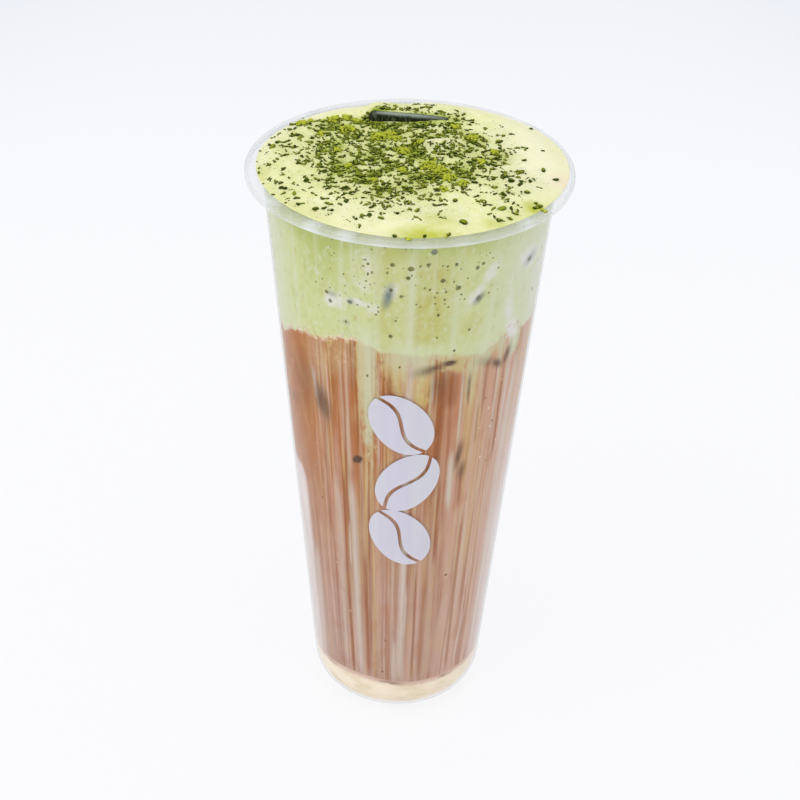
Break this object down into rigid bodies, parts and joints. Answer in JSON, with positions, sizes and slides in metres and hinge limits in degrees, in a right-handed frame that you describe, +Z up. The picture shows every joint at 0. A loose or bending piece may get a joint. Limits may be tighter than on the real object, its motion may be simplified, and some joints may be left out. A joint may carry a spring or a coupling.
{
  "type": "iced layered coffee in a clear cup",
  "caption": "Tall clear plastic cup of layered iced coffee: condensed milk at the foot, milky coffee and a thick matcha cream foam level with the rim, with ice breaking its surface.",
  "frame": {"origin": "middle of the ring that the cup stands on, in the plane of the table", "axes": "+Z up along the cup's axis, -Y towards the front of the cup, +X to the right seen from the front; the ice stands at the back, on +Y"},
  "size_m": [0.09, 0.09, 0.1847],
  "materials": {
    "clear_plastic": "clear gloss polypropylene",
    "milk": "opaque cream, wet",
    "coffee": "opaque milky coffee, wet",
    "foam": "pale green whipped cream",
    "ice": "wet ice tinted by the matcha"
  },
  "bodies": {
    "root": {"cup": "clear_plastic", "condensed_milk": "milk", "coffee": "coffee", "matcha_foam": "foam", "ice": "ice"}
  },
  "joints": []
}
